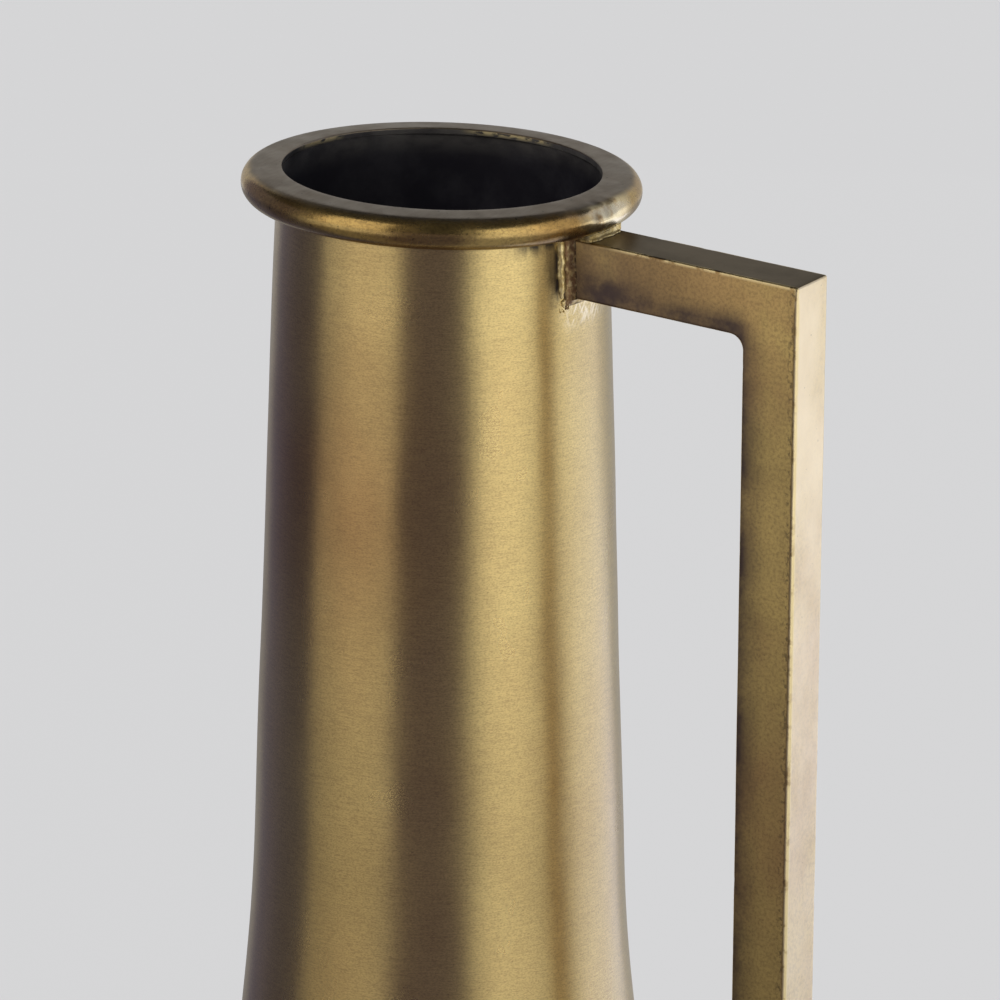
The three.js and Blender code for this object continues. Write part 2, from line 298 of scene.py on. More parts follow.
def rim_brass():
    """The rim: grey-brown satin on its ground top, darker brass outside with painted shade on its lower half,
    and pale where weld was dressed.
    """
    s = Shader("rim_brass")
    clouds = s.span(s.noise((60, 60, 60), 3), 0.35, 0.65)
    tint = s.mix(clouds, RING_GOLD, RING_BROWN)
    grain = s.noise((1500, 1500, 2300), 2, 0.6, 3)
    tint = s.mix(s.span(grain, 0.4, 0.72, 0, 0.4), tint, UMBER)
    ground = s.mix(clouds, GREY_METAL, GREY_BROWN)
    lines = s.noise((1400, 240, 700), 3, 0.6)
    ground = s.mix(s.span(lines, 0.35, 0.7, 0, 0.2), ground, UMBER)
    ragged = s.math("ADD", s.weight("ground"), s.span(s.noise((300, 300, 300), 3), 0.2, 0.8, -0.12, 0.12))
    on_top = s.span(ragged, 0.05, 0.95)
    tint = s.mix(on_top, tint, ground)
    pits = s.span(s.noise((1000, 1000, 1000), 1, 0.5, 7), 0.7, 0.78)
    tint = s.mix(s.math("MULTIPLY", pits, 0.55), tint, SOOT_AND_SHADE)
    pale = s.patches("pale", s.span(s.noise((300, 300, 300), 3), 0.25, 0.5))
    tint = s.mix(pale, tint, RING_PALE)
    # Soot where the top's edge is burnt away, and painted shade on the lower half of the outside.
    s.set("Base Color", s.mix(s.weight("stain"), tint, SOOT_AND_SHADE))
    satin = s.span(s.noise((220, 220, 220), 4), 0.3, 0.7, -0.04, 0.05)
    s.set("Roughness", s.math("ADD", satin, s.span(on_top, 0, 1, 0.25, 0.41)))
    s.bump(grain, 0.25, 0.05 * MM)
    return s.material


def handle_brass():
    """Square bar: olive gold to brown, with painted shade in the inside corner and painted light on the
    grip's faces, rubbed bright or sooty on the edges.
    """
    s = Shader("handle_brass")
    clouds = s.span(s.noise((38, 38, 24), 4, 0.6, 1), 0.38, 0.64)
    tint = s.mix(clouds, BAR_GOLD, BAR_BROWN)
    grain = s.noise((1500, 1500, 1500), 3, 0.65)
    tint = s.mix(s.span(grain, 0.38, 0.72, 0.0, 0.45), tint, UMBER)
    patchy = s.span(s.noise((130, 130, 110), 5, 0.65), 0.25, 0.65, 0.6, 1.0)
    # Painted shade along the inner side of the bend and in the inside corner; darker metal at the upper root
    # and down the grip.
    tint = s.mix(s.patches("shade_and_dark", patchy), tint, BAR_SHADE_DARK)
    tint = s.mix(s.weight("dull"), tint, BAR_DULL)
    # Painted highlight on the grip's outer face, brightest at the top, and painted light on its inner face.
    pale = s.patches("pale", s.span(s.noise((70, 70, 40), 4, 0.6, 3), 0.2, 0.6, 0.55, 1))
    tint = s.mix(pale, tint, BAR_PALE)
    specks = s.span(s.noise((1300, 1300, 1300), 1, 0.5, 9), 0.76, 0.82)
    tint = s.mix(s.math("MULTIPLY", specks, 0.4), tint, SOOT_AND_SHADE)
    marks = s.span(s.noise((1300, 1300, 900), 3, 0.6, 12), 0.52, 0.62, 0.0, 0.7)
    tint = s.mix(s.patches("soot", marks), tint, SOOT_AND_SHADE)
    rubbed = s.patches("wear", s.span(s.noise((420, 420, 420), 3), 0.36, 0.5))
    s.set("Base Color", s.mix(rubbed, tint, PALE_GOLD))
    s.set("Roughness", s.span(s.noise((90, 90, 90), 4, 0.6, 2), 0.3, 0.7, 0.32, 0.42))
    s.set("Specular Tint", s.mix(s.weight("dull"), (1, 1, 1, 1), DULL_SHEEN))
    s.lacquer(s.span(s.weight("dull"), 0, 1, 0.4, 0.15))
    s.bump(grain, 0.22, 0.05 * MM)
    return s.material


def weld_metal():
    """Weld: pale gold, burnt brown towards the arm and sooty along its toes and creases, with painted shade
    in the creases.
    """
    s = Shader("weld_metal")
    lumps = s.noise((800, 800, 800), 3, 0.55)
    tint = s.mix(s.span(lumps, 0.35, 0.65), WELD_GOLD, WELD_PALE)
    patchy = s.span(s.noise((1100, 1100, 800), 3, 0.6, 2), 0.32, 0.6, 0.6, 1.0)
    tint = s.mix(s.patches("burnt", patchy), tint, WELD_BURNT)
    # Soot along the toes, with painted shade in the creases there.
    sooty_and_shaded = s.patches("stain", s.span(s.noise((1200, 1200, 1200), 3, 0.6, 4), 0.3, 0.55))
    s.set("Base Color", s.mix(sooty_and_shaded, tint, SOOT_AND_SHADE))
    s.set("Roughness", s.span(lumps, 0.3, 0.7, 0.58, 0.44))
    s.bump(lumps, 0.2, 0.1 * MM)
    return s.material


def plain_brass():
    """Base disc and braze, out of sight: dull brass with patina clouds."""
    s = Shader("plain_brass")
    tint = s.mix(s.span(s.noise((60, 60, 60), 4), 0.35, 0.65), OLIVE, BROWN)
    grain = s.noise((700, 700, 700), 3, 0.6)
    s.set("Base Color", s.mix(s.span(grain, 0.35, 0.75, 0, 0.4), tint, UMBER))
    s.set("Roughness", s.span(grain, 0.3, 0.7, 0.4, 0.52))
    s.bump(grain, 0.12, 0.05 * MM)
    return s.material


BODY = body_brass()
INNER = inner_black()
RIM = rim_brass()
HANDLE = handle_brass()
WELD = weld_metal()
PLAIN = plain_brass()


# Meshes

SHARP_ANGLE = math.radians(38)


def add_object(name, data):
    made = bpy.data.objects.new(name, data)
    scene.collection.objects.link(made)
    return made


def new_mesh(name, verts, faces, materials):
    mesh = bpy.data.meshes.new(name)
    mesh.from_pydata(verts, [], faces)
    for material in materials:
        mesh.materials.append(material)
    return mesh


def add_piece(name, verts, faces, materials, slot, *nodes):
    """A smooth closed mesh that rides on the vase and stands for its CAD nodes."""
    mesh = new_mesh(name, verts, faces, materials)
    work = bmesh.new()
    work.from_mesh(mesh)
    bmesh.ops.recalc_face_normals(work, faces=work.faces)
    work.to_mesh(mesh)
    work.free()
    mesh.shade_smooth()
    mesh.set_sharp_from_angle(angle=SHARP_ANGLE)
    piece = add_object(name, mesh)
    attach(piece, "root")
    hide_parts(*nodes)
    return piece


def store(piece, marks):
    """Keeps the numbers that each point of a mesh has, under the same names, for the shaders to read."""
    for name in marks[0]:
        layer = piece.data.attributes.new(name, "FLOAT", "POINT")
        layer.data.foreach_set("value", [mark[name] for mark in marks])


def arc(centre, reach, start, end, steps):
    """Points on an arc from one angle to another, with both ends."""
    angles = [lerp(start, end, i / steps) for i in range(steps + 1)]
    return [(centre[0] + reach * math.cos(angle), centre[1] + reach * math.sin(angle)) for angle in angles]


def swept(loop, steps, give):
    """What give(angle, radius, height) says at each point of a loop that turns about +Z."""
    return [give(2 * math.pi * i / steps, r, z) for i in range(steps) for r, z in loop]


def grid_faces(rows, count, round_rows, round_points):
    """Faces between rows of count points. The rows, and the points in a row, may close into a round."""
    faces = []
    for i in range(rows if round_rows else rows - 1):
        here = i * count
        there = (i + 1) % rows * count
        for j in range(count if round_points else count - 1):
            k = (j + 1) % count
            faces.append((here + j, there + j, there + k, here + k))
    return faces


def turned(loop, steps, place):
    """Points and faces of a closed loop of (radius, height) that turns about +Z."""
    return swept(loop, steps, place), grid_faces(steps, len(loop), True, True)


def loft(loops):
    """Joins closed loops of points one after another and closes both ends."""
    count = len(loops[0])
    verts = [point for loop in loops for point in loop]
    faces = [(a, d, c, b) for a, b, c, d in grid_faces(len(loops), count, False, True)]
    faces.append(tuple(range(count)))
    faces.append(tuple(range(len(verts) - count, len(verts))))
    return verts, faces


# Body

BODY_STEPS = 240
FOOT_STEPS = 10
FLARE_STEPS = 56
NECK_STEPS = 30
TOP_STEPS = 32  # close rows where the stains of the weld lie
TOP_BAND = 45 * MM
BODY_WAVE_HEIGHT = 38 * MM  # one wave of the hand-worked sheet
CALM_FOOT = 30 * MM  # below this height the waves fade out
MOUTH_BAND = 20 * MM  # the mouth's tilt fades out over this height
UPPER_NECK_LEG = 2.7 * MM  # width of the upper arm's side welds on the neck
WARM_AZIMUTH = math.radians(-149)  # the side of the neck with the brownest patina
WARM_SIDE = Vector((math.cos(WARM_AZIMUTH), math.sin(WARM_AZIMUTH), 0))
WARM_HEIGHT = 250 * MM  # the brownest patina lies round this height
WARM_SPREAD = 28 * MM
WARM_LEAST = 0.25  # how brown that side is at other heights
WARM_MORE = 0.5
LIP_RUB = 0.4  # how grey the blackened inside is rubbed at the mouth
LIP_RUB_DEPTH = 6 * MM  # where that starts, below the mouth
LIP_RUB_FULL = 0.5 * MM

# Calm sheet and marks round the arms' roots. A pair says where one is full and where it is gone.
CALM_ACROSS = (11 * MM, 18 * MM)
CALM_UP = (13 * MM, 22 * MM)
SOOT_START = 0.8 * MM  # soot starts this far within the toe of the weld
SOOT_UP = (-2.5 * MM, 1 * MM)  # up from the arm's underside, where it starts and is full
# The groove by a weld's toe: soot with painted shade in the undercut.
GROOVE_SOOT_SHADE = (1.1 * MM, 2 * MM)  # out from the toe of the weld
SOOT_HALO = (2.8 * MM, 3.7 * MM)
HALO_DARK = 0.55
# The dark line under the ring: braze with painted shade in the crevice.
SEAM = (0.2 * MM, 1.2 * MM)  # down from the ring
SEAM_SHADE = 0.7
SMOKE_DOWN = (1.2 * MM, 4.2 * MM)
SMOKE_ACROSS = (14 * MM, 22 * MM)
SCRATCH_DROP = 3.2 * MM  # the middle of a scratched patch lies this far below the arm
SCRATCH_HALF_HEIGHT = 3.4 * MM
SCRATCH_HALF_WIDTH = 9 * MM


def body_radius(height):
    """Outer radius of the body at heights on the neck or the flare."""
    neck = MOUTH_RADIUS + (HEIGHT - height) * math.tan(NECK_ANGLE)
    flare = FLARE_CENTRE.x - np.sqrt(FLARE_ARC ** 2 - np.square(FLARE_CENTRE.y - height))
    return np.where(height >= FLARE_START_HEIGHT, neck, flare)


def surface_x(height, y):
    """Distance from the axis along +X of the body's surface, a distance y off centre."""
    return math.sqrt(body_radius(height) ** 2 - y ** 2)


def wall(inset):
    """(radius, height) of the wall from the lip under the foot up to the mouth, moved in by inset."""
    points = [(LIP_RADIUS, inset)]
    points += arc(FOOT_CENTRE, FOOT_ROUND - inset, -math.pi / 2, FOOT_ANGLE, FOOT_STEPS)
    points += arc(FLARE_CENTRE, -FLARE_ARC - inset, FOOT_ANGLE, NECK_ANGLE, FLARE_STEPS)[1:]
    top = HEIGHT - MOUTH_SET_BACK
    bands = [(FLARE_START_HEIGHT, top - TOP_BAND, NECK_STEPS), (top - TOP_BAND, top, TOP_STEPS)]
    for low, high, steps in bands:
        for i in range(1, steps + 1):
            height = lerp(low, high, i / steps)
            points.append((body_radius(height) - inset, height))
    return points


def rim_tilt(point):
    """How much the tilted rim lies above its middle's height over a point."""
    toward = point.x * math.cos(RIM_TILT_AZIMUTH) + point.y * math.sin(RIM_TILT_AZIMUTH)
    return -toward * math.tan(RIM_TILT)


def at_root(point):
    """1 where an arm of the handle meets the body, fading to 0 round it."""
    if point.x < 0:
        return 0
    upper = (arm_top(MOUTH_RADIUS) + arm_under(MOUTH_RADIUS)) / 2
    lower = (LOWER_ARM_TOP + HANDLE_BOTTOM) / 2
    rise = min(abs(point.z - upper), abs(point.z - lower))
    return fade(*CALM_ACROSS, abs(point.y)) * fade(*CALM_UP, rise)


def body_point(angle, radius, height):
    """A point of the wall, with the slight waves of hand-worked sheet and the mouth's tilt."""
    x = math.cos(angle)
    y = math.sin(angle)
    wave = ripple(1.5 * x, 1.5 * y, height / BODY_WAVE_HEIGHT)
    wave += 0.5 * ripple(3 * x, 3 * y, 2 * height / BODY_WAVE_HEIGHT, 2)
    point = Vector((radius * x, radius * y, height))
    swell = 1 + BODY_WAVE * smooth_step(0, CALM_FOOT, height) * (1 - at_root(point)) * wave / radius
    point.x *= swell
    point.y *= swell
    point.z += smooth_step(HEIGHT - MOUTH_BAND, HEIGHT - MOUTH_SET_BACK, height) * rim_tilt(point)
    return point


def soot(point):
    """How sooty the wall is beside the upper welds and under the ring, with painted shade in the undercut by
    the welds' toes and in the crevice just under the ring.
    """
    near = 1 if point.x > 0 else 0
    from_toe = abs(point.y) - HALF_BAR - UPPER_NECK_LEG
    beside = max(fade(*GROOVE_SOOT_SHADE, from_toe), HALO_DARK * fade(*SOOT_HALO, from_toe))
    beside *= smooth_step(-SOOT_START, 0, from_toe)
    along = smooth_step(*SOOT_UP, point.z - arm_under(MOUTH_RADIUS))
    under_ring = HEIGHT + RIM_LIFT - RIM_HEIGHT + rim_tilt(point) - point.z
    smoked = fade(*SMOKE_ACROSS, abs(point.y)) * fade(*SMOKE_DOWN, under_ring)
    return max(near * along * beside, near * smoked, SEAM_SHADE * fade(*SEAM, under_ring))


def scratched(point):
    """How scratched the wall is in the patch below the upper arm."""
    near = 1 if point.x > 0 else 0
    drop = abs(point.z - (arm_under(MOUTH_RADIUS) - SCRATCH_DROP)) / SCRATCH_HALF_HEIGHT
    side = abs(point.y) / SCRATCH_HALF_WIDTH
    return near * max(0, 1 - drop ** 2) * max(0, 1 - side ** 4)


def warmth(point):
    """How brown the wall's patina is."""
    facing = Vector((point.x, point.y, 0)).normalized().dot(WARM_SIDE)
    band = math.exp(-((point.z - WARM_HEIGHT) / WARM_SPREAD) ** 2)
    return smooth_step(-0.2, 0.6, facing) * (WARM_LEAST + WARM_MORE * band)


def body_marks(point):
    """How sooty, scratched, brown, worn and rubbed the wall is at a point. Only the rim's lip is worn."""
    return {
        "stain": soot(point),
        "pale": scratched(point),
        "warm": warmth(point),
        "wear": 0.0,
        "rub": LIP_RUB * smooth_step(HEIGHT - LIP_RUB_DEPTH, HEIGHT - LIP_RUB_FULL, point.z),
    }


def make_body():
    outside = wall(0)
    inside = wall(SHEET)
    verts, faces = turned(outside + inside[::-1], BODY_STEPS, body_point)
    piece = add_piece("vase_body", verts, faces, [BODY, INNER], "body_brass", "body_shell")
    count = len(outside) + len(inside)
    for i, face in enumerate(piece.data.polygons):
        face.material_index = 1 if len(outside) <= i % count < count - 1 else 0
    store(piece, [body_marks(point) for point in verts])


# Rim

RIM_STEPS = 432
RIM_ARC_STEPS = 44
RIM_FLAT_STEPS = 6
RIM_INNER_STEPS = 4
RIM_LIP = 1.2 * MM  # depth of the inner lip that caps the wall
RIM_ROUND_CENTRE = RIM_OUTER_RADIUS - RIM_ROUND
RIM_BREAK = math.acos((RIM_FLAT_RADIUS - RIM_ROUND_CENTRE) / RIM_ROUND)
RIM_ROUND_DROP = RIM_CROWN + RIM_ROUND * math.sin(RIM_BREAK)
RIM_HEIGHT = RIM_ROUND_DROP + RIM_ROUND
RIM_BORE = MOUTH_RADIUS + 0.1 * MM
RIM_MOUTH = MOUTH_RADIUS - SHEET - 0.05 * MM
# Painted shade on the ring's lower, downward-facing half.
RIM_UNDER_SHADE = 0.45  # how dark the ring's lower half is
UNDER_SHADE_EDGE = (math.radians(16), math.radians(-2))  # where that starts and is full, up from level
LIP_WEAR = [(78, 114), (160, 186)]  # degrees round the mouth where the inner edge is worn to brass
DRESSED = (-2, 15)  # middle and reach, in degrees from the handle, of where weld was dressed down on the ring
BITTEN = (-9, 11)  # and of where the ground top's outer edge is burnt away
BITE_EDGE = (-2.4 * MM, 0.4 * MM)  # out from the ground top's edge, where that starts and is full
PALE_EDGE = (-0.2 * MM, 1 * MM)  # the same for the pale metal of the dressed weld
LUMP_EDGE = (-0.5 * MM, 1.5 * MM)  # and for its lumps
BITE_DEPTH = 0.35 * MM
BITE_WIDTH = 2.2 * MM
BITE_DARK = 0.75
LUMP_SWELL = 0.22 * MM
LUMP_RISE = 0.15 * MM
LUMP_WIDTH = 3.4 * MM
LUMP_HEIGHT = 2.6 * MM
RIM_WAVE = 0.05 * MM  # the ring isn't quite round either
RIM_WAVE_WIDTH = 26 * MM


def rim_section():
    """The ring's section as runs of (radius, height): the inner lip, the top, the outside and the bore."""
    lip = [(RIM_MOUTH, -RIM_LIP), (RIM_MOUTH, -RIM_LIP / 2), (RIM_MOUTH, -2 * RIM_INNER_ROUND)]
    flat_start = RIM_MOUTH + RIM_INNER_ROUND
    lip += arc((flat_start, -RIM_INNER_ROUND), RIM_INNER_ROUND, math.pi, math.pi / 2, RIM_INNER_STEPS)
    shares = [i / RIM_FLAT_STEPS for i in range(1, RIM_FLAT_STEPS + 1)]
    top = [(lerp(flat_start, RIM_FLAT_RADIUS, share), -RIM_CROWN * share ** 1.5) for share in shares]
    centre = (RIM_ROUND_CENTRE, -RIM_ROUND_DROP)
    outside = arc(centre, RIM_ROUND, RIM_BREAK, -math.pi / 2, RIM_ARC_STEPS)[1:]
    bore = [(RIM_BORE, outside[-1][1]), (RIM_BORE, -RIM_LIP)]
    return lip, top, outside, bore


def beside_handle(angle, middle, reach):
    """1 at a middle in degrees from the handle, falling to 0 at a reach from it."""
    turn = math.degrees(math.atan2(math.sin(angle), math.cos(angle)))
    return max(0, 1 - abs((turn - middle) / reach) ** 2)


def section_lean(radius, height):
    """Angle up from level of a point round the ring's section."""
    return math.atan2(height + RIM_ROUND_DROP, radius - RIM_ROUND_CENTRE)


def bitten(angle, radius):
    """How deep the ground top's outer edge is burnt away, from 0 to 1."""
    x = radius * math.cos(angle)
    y = radius * math.sin(angle)
    ragged = 0.6 + 0.8 * ripple(x / BITE_WIDTH, y / BITE_WIDTH, 0, 7)
    edge = smooth_step(*BITE_EDGE, radius - RIM_FLAT_RADIUS)
    return beside_handle(angle, *BITTEN) * edge * max(0, ragged)


def rim_point(angle, radius, height):
    """A point of the ring, lumpy beside the handle, in the vase's frame."""
    x = radius * math.cos(angle)
    y = radius * math.sin(angle)
    out = smooth_step(*LUMP_EDGE, radius - RIM_FLAT_RADIUS)
    above = smooth_step(-0.5, 0.1, section_lean(radius, height))
    lump = beside_handle(angle, *DRESSED) * out * above
    lump *= ripple(x / LUMP_WIDTH, y / LUMP_WIDTH, height / LUMP_HEIGHT, 3)
    wave = ripple(x / RIM_WAVE_WIDTH, y / RIM_WAVE_WIDTH, 0, 5)
    grow = 1 + (LUMP_SWELL * lump + RIM_WAVE * wave) / radius
    drop = BITE_DEPTH * bitten(angle, radius) if height > -RIM_ROUND_DROP else 0
    return RIM_PLACE @ Vector((x * grow, y * grow, height + LUMP_RISE * lump - drop))


def lip_wear(angle):
    """How far the mouth's inner edge is worn, from 0 to 1."""
    turn = math.degrees(angle)
    worn_most = 0
    for low, high in LIP_WEAR:
        stretch = smooth_step(low - 2, low + 6, turn) * fade(high - 10, high + 2, turn)
        worn_most = max(worn_most, stretch)
    return worn_most


def rim_marks(angle, radius, height):
    """How pale, dark, worn, rubbed and ground the ring is at a point of it, with painted shade on its lower
    half.
    """
    on_top = 1 if height > -RIM_ROUND_DROP else 0
    weld = beside_handle(angle, *DRESSED)
    burnt = BITE_DARK * on_top * min(1, bitten(angle, radius))
    # Painted shade: the ring's lower, downward-facing half is darkened, except where weld was dressed.
    under_shade = RIM_UNDER_SHADE * smooth_step(*UNDER_SHADE_EDGE, section_lean(radius, height)) * (1 - weld)
    return {
        "pale": weld * smooth_step(*PALE_EDGE, radius - RIM_FLAT_RADIUS),
        "stain": max(burnt, under_shade),
        "wear": lip_wear(angle) * smooth_step(-RIM_LIP, -RIM_LIP / 3, height),
        "rub": LIP_RUB,
        "ground": on_top * fade(RIM_FLAT_RADIUS - 0.6 * MM, RIM_OUTER_RADIUS, radius),
    }


def make_rim():
    lip, top, outside, bore = rim_section()
    loop = lip + top + outside + bore
    verts, faces = turned(loop, RIM_STEPS, rim_point)
    piece = add_piece("rim_band", verts, faces, [RIM, INNER], "rim_brass", "rim_ring", "rim_braze")
    black = len(lip) - RIM_INNER_STEPS - 1
    for i, face in enumerate(piece.data.polygons):
        face.material_index = 1 if i % len(loop) < black else 0
    store(piece, swept(loop, RIM_STEPS, rim_marks))


# Handle

SIDE_SHARES = (-1, -0.94, -0.7, -0.35, 0, 0.35, 0.7, 0.94, 1)
CORNER_STEPS = 6
BAR_PITCH = 1.1 * MM
FAN_SIDE_STEPS = 12
FAN_CORNER_STEPS = 4
UPPER_ROOT = MOUTH_RADIUS
LOWER_ROOT = float(body_radius(LOWER_ARM_TOP - HALF_BAR))
GRIP_OUTER = GRIP_HIGH.x
GRIP_HIGHLIGHT = (0.9, 0.42)  # painted highlight: how pale its outer face is, at the top and halfway down
EDGE_RUB = (5 * MM, 16 * MM)  # from the upper root, where the rubbing of the edges starts and is full
BAR_WAVE_WIDTH = 14 * MM
BAR_WAVE_LENGTH = 18 * MM
NICK_WIDTH = 2 * MM
NICK_LENGTH = 1.7 * MM
NICK_LEVEL = 0.42  # only the highest noise makes a nick

# Painted shade and darker metal on the bar: a pair says where it is full and where it is gone
ROOT_DARK = (4 * MM, 38 * MM)  # out from the upper root
ARM_BAND = (0.5 * MM, 5 * MM)  # up from the arm's underside
CORNER_BAND = (1.6 * MM, 6.5 * MM)  # the same in the inside corner
CORNER_REACH = (-3 * MM, -18 * MM)  # out from the grip's inner face, where that band holds
ARM_END = (-1 * MM, 2.5 * MM)  # out from the same face, where the arm's bands give way to the grip's
ROOT_RISE = (2 * MM, 10 * MM)  # up the arm, where the root gets lighter
ROOT_TOP_SHARE = 0.6
GRIP_DOWN = (-28 * MM, 6 * MM)  # up from the arm's underside, for the grip
GRIP_BAND_SHARE = 0.45
DOWN_SHARE = 0.26  # how dark the grip is all over, lower down


def arm_top(x):
    """Height of the upper arm's top face."""
    return GRIP_HIGH.z - (x - GRIP_INNER) * math.tan(ARM_DROOP)


def arm_under(x):
    return arm_top(x) - BAR / math.cos(ARM_DROOP)


def fillet(corner, before, after, reach, steps):
    """Points of the round between two edges that leave a corner, tangent to both at reach."""
    centre = corner + (before + after) * (reach / (1 + before.dot(after)))
    start = corner + before * reach - centre
    end = corner + after * reach - centre
    swing = start.angle(end)
    points = []
    for i in range(steps + 1):
        share = i / steps
        blend = start * math.sin((1 - share) * swing) + end * math.sin(share * swing)
        points.append(centre + blend / math.sin(swing))
    return points


def straight(start, end):
    """Stations between two others, without them. A station is a point inside and one outside the bend."""
    steps = max(2, round((end[1] - start[1]).length / BAR_PITCH))
    shares = [i / steps for i in range(1, steps)]
    return [(lerp(start[0], end[0], share), lerp(start[1], end[1], share)) for share in shares]


def corner_fan(inner, outer, before, after):
    """Stations round a corner of the handle: a fillet inside and a crisp corner outside."""
    steps = 2 * FAN_SIDE_STEPS + FAN_CORNER_STEPS
    inside = fillet(inner, before, after, CORNER_FILLET, steps)
    tip = fillet(outer, before, after, EDGE_ROUND, FAN_CORNER_STEPS)
    first = tip[0] + before * (before.dot(inside[0] - tip[0]))
    last = tip[-1] + after * (after.dot(inside[-1] - tip[-1]))
    shares = [i / FAN_SIDE_STEPS for i in range(FAN_SIDE_STEPS)]
    outside = [lerp(first, tip[0], share) for share in shares] + tip
    outside += [lerp(last, tip[-1], share) for share in shares[::-1]]
    return list(zip(inside, outside))


def bar_stations():
    """Stations along the bent bar from its upper to its lower root, in the XZ plane."""
    level = Vector((-1, 0))
    slope = Vector((-math.cos(ARM_DROOP), math.sin(ARM_DROOP)))
    down = Vector((0, -1))
    inner_top = Vector((GRIP_INNER, arm_under(GRIP_INNER)))
    outer_top = Vector((GRIP_OUTER, arm_top(GRIP_OUTER)))
    inner_low = Vector((GRIP_INNER, LOWER_ARM_TOP))
    outer_low = Vector((GRIP_OUTER, HANDLE_BOTTOM))
    upper = corner_fan(inner_top, outer_top, slope, down)
    lower = corner_fan(inner_low, outer_low, -down, level)
    head = (Vector((UPPER_ROOT, arm_under(UPPER_ROOT))), Vector((UPPER_ROOT, arm_top(UPPER_ROOT))))
    foot = (Vector((LOWER_ROOT, LOWER_ARM_TOP)), Vector((LOWER_ROOT, HANDLE_BOTTOM)))
    stations = [head] + straight(head, upper[0]) + upper
    stations += straight(upper[-1], lower[0]) + lower
    return stations + straight(lower[-1], foot) + [foot]


def square_loop(last_round):
    """Points round the bar's section: place from -1 to 1 each way, outward direction, 1 on a corner.

    The sides follow each other from the outside of the bend to the back, the inside and the front. The
    corner from the front to the outside has a rounding of its own.
    """
    rounds = [EDGE_ROUND / HALF_BAR] * 3 + [last_round / HALF_BAR]
    points = []
    for side in range(4):
        turn = side * math.pi / 2
        out = Vector((math.cos(turn), math.sin(turn)))
        along = Vector((-out.y, out.x))
        for share in SIDE_SHARES:
            edge = 0.5 if abs(share) == 1 else 0
            reach = 1 - (rounds[side] if share > 0 else rounds[side - 1])
            points.append((out + along * share * reach, out, edge))
        flat = 1 - rounds[side]
        for i in range(1, CORNER_STEPS):
            angle = turn + i / CORNER_STEPS * math.pi / 2
            lean = Vector((math.cos(angle), math.sin(angle)))
            points.append(((out + along) * flat + lean * rounds[side], lean, 1))
    return points


def coped(point):
    """Moves a point of an arm so that its root follows the curve of the body."""
    root = UPPER_ROOT if point.z > HEIGHT / 2 else LOWER_ROOT
    share = min(max((GRIP_INNER - point.x) / (GRIP_INNER - root), 0), 1)
    point.x += share * (surface_x(point.z, point.y) - SHEET / 2 - root)


def worn(point, out, edge):
    """A point of the bar, moved for its slight waves and the nicks on its edges."""
    waved = (point.x / BAR_WAVE_WIDTH, point.y / BAR_WAVE_WIDTH, point.z / BAR_WAVE_LENGTH)
    wave = BAR_WAVE * ripple(*waved, 2)
    nick = ripple(point.x / NICK_WIDTH, point.y / NICK_WIDTH, point.z / NICK_LENGTH, 3) - NICK_LEVEL
    return point + out * (wave - NICK_DEPTH * edge * max(0, nick))


def bar_shade_and_dark(point, from_inside):
    """Painted shade along the inner side of the bend and in the inside corner, and darker metal at the upper
    root and lower down the grip.
    """
    on_arm = fade(*ARM_END, point.x - GRIP_INNER)
    corner = fade(*CORNER_REACH, point.x - GRIP_INNER)
    full, gone = [lerp(*ends, corner) for ends in zip(ARM_BAND, CORNER_BAND)]
    inside = fade(full, gone, from_inside) * lerp(GRIP_BAND_SHARE, 1, on_arm)
    root = fade(*ROOT_DARK, point.x - UPPER_ROOT)
    root *= lerp(1, ROOT_TOP_SHARE, smooth_step(*ROOT_RISE, from_inside))
    down = DOWN_SHARE * fade(*GRIP_DOWN, point.z - arm_under(GRIP_INNER))
    return min(1, inside + root + down)


def bar_marks(point, place, lean, edge, from_inside, on_face):
    """How rubbed, dark, dull, pale and sooty the bar is at a point of its section, with its painted shade and
    painted light.
    """
    outside = smooth_step(0.4, 0.95, lean.x)
    inward = smooth_step(0.4, 0.9, -lean.x)
    front = smooth_step(0.97, 1, -lean.y)
    top = 1 if point.z > HEIGHT / 2 else 0
    rubbed = smooth_step(*EDGE_RUB, point.x - UPPER_ROOT) if place.x > 0.9 else 0
    highlight = lerp(*GRIP_HIGHLIGHT, smooth_step(GRIP_HIGH.z, HEIGHT / 2, point.z))
    return {
        "wear": edge * rubbed,
        # Painted shade and darker metal, on the bar's front and back faces only.
        "shade_and_dark": bar_shade_and_dark(point, from_inside) * (1 - outside) * (1 - inward),
        # Painted highlight on the grip's outer face and painted light on its inner face.
        "dull": outside * top * (1 - on_face),
        "pale": on_face * max(outside * highlight, inward),
        "soot": on_face * front * smooth_step(0.5, 0.95, place.x),
    }


